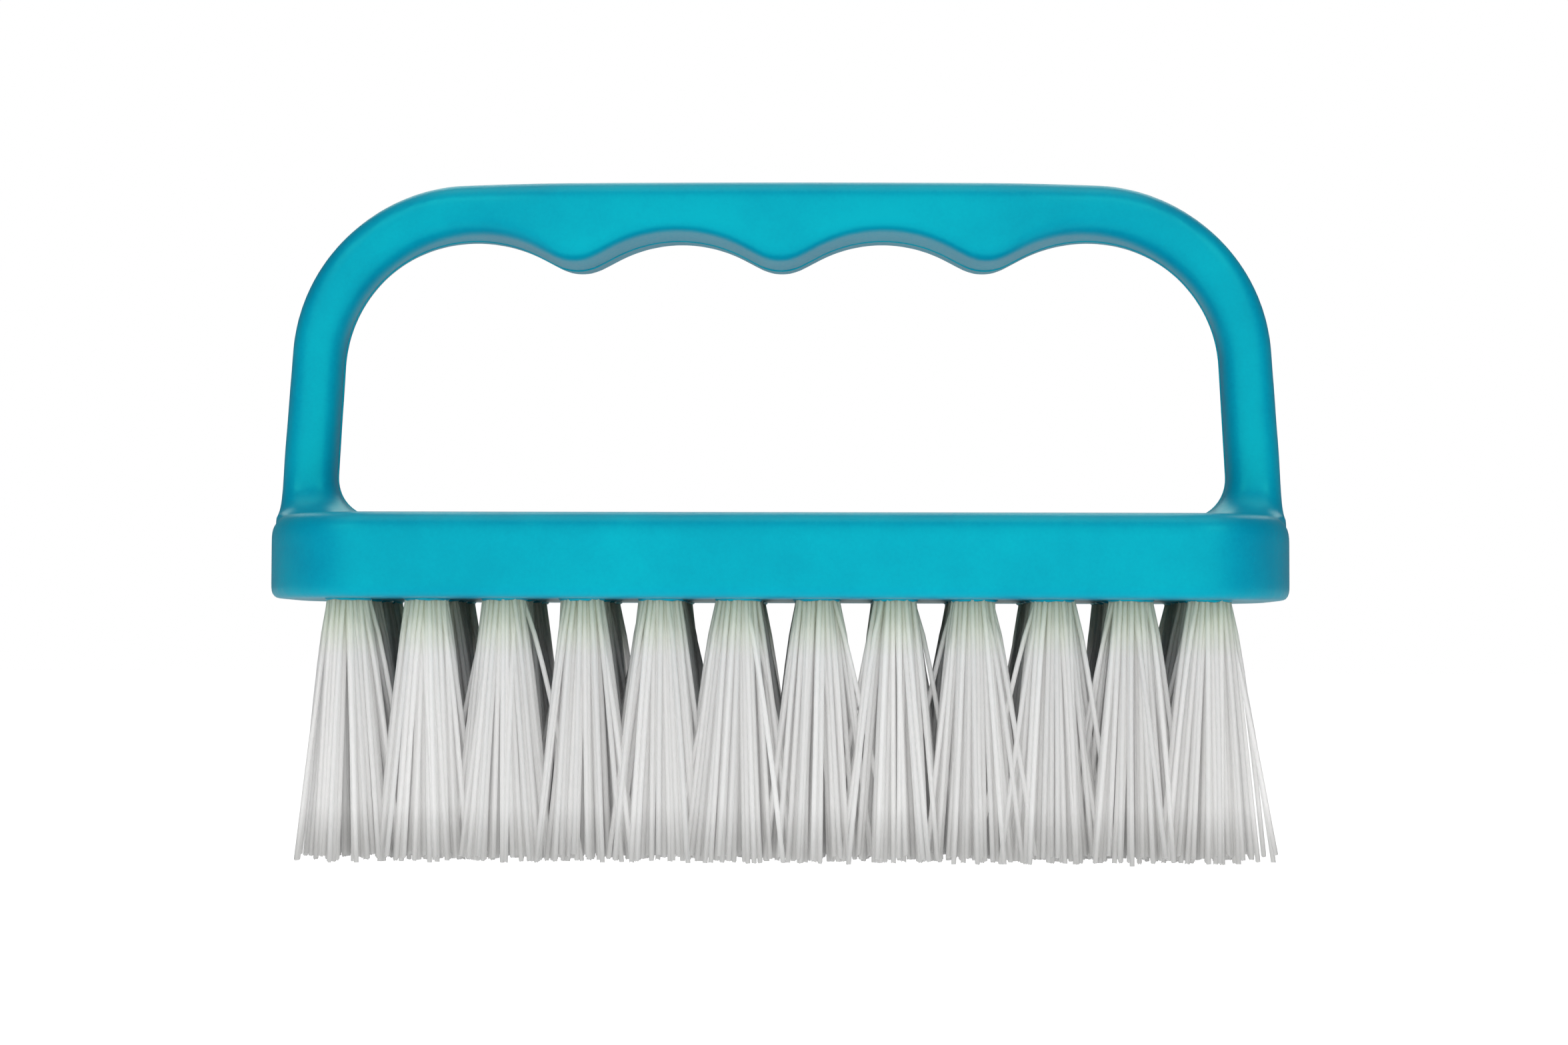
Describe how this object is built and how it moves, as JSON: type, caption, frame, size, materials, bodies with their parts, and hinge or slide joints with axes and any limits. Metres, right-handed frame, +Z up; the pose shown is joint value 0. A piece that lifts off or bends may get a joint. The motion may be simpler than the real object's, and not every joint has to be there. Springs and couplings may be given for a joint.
{
  "type": "hand scrub brush",
  "caption": "Hand scrub brush: rounded plastic block with a bow handle and finger grip, and rows of stiff filament tufts.",
  "frame": {"origin": "on the plane of the bristle tips, under the middle of the block", "axes": "+X along the brush, +Y across it to the back, +Z up from the bristle tips to the handle"},
  "size_m": [0.13, 0.042, 0.0871],
  "materials": {
    "moulding": "satin turquoise polypropylene",
    "filament": "milky white extruded filament"
  },
  "bodies": {
    "root": {"brush_body": "moulding", "tuft_r1_c01": "filament", "tuft_r1_c02": "filament", "tuft_r1_c03": "filament", "tuft_r1_c04": "filament", "tuft_r1_c05": "filament", "tuft_r1_c06": "filament", "tuft_r1_c07": "filament", "tuft_r1_c08": "filament", "tuft_r1_c09": "filament", "tuft_r1_c10": "filament", "tuft_r1_c11": "filament", "tuft_r1_c12": "filament", "tuft_r2_c01": "filament", "tuft_r2_c02": "filament", "tuft_r2_c03": "filament", "tuft_r2_c04": "filament", "tuft_r2_c05": "filament", "tuft_r2_c06": "filament", "tuft_r2_c07": "filament", "tuft_r2_c08": "filament", "tuft_r2_c09": "filament", "tuft_r2_c10": "filament", "tuft_r2_c11": "filament", "tuft_r2_c12": "filament", "tuft_r3_c01": "filament", "tuft_r3_c02": "filament", "tuft_r3_c03": "filament", "tuft_r3_c04": "filament", "tuft_r3_c05": "filament", "tuft_r3_c06": "filament", "tuft_r3_c07": "filament", "tuft_r3_c08": "filament", "tuft_r3_c09": "filament", "tuft_r3_c10": "filament", "tuft_r3_c11": "filament", "tuft_r3_c12": "filament", "tuft_r4_c01": "filament", "tuft_r4_c02": "filament", "tuft_r4_c03": "filament", "tuft_r4_c04": "filament", "tuft_r4_c05": "filament", "tuft_r4_c06": "filament", "tuft_r4_c07": "filament", "tuft_r4_c08": "filament", "tuft_r4_c09": "filament", "tuft_r4_c10": "filament", "tuft_r4_c11": "filament", "tuft_r4_c12": "filament"}
  },
  "joints": []
}
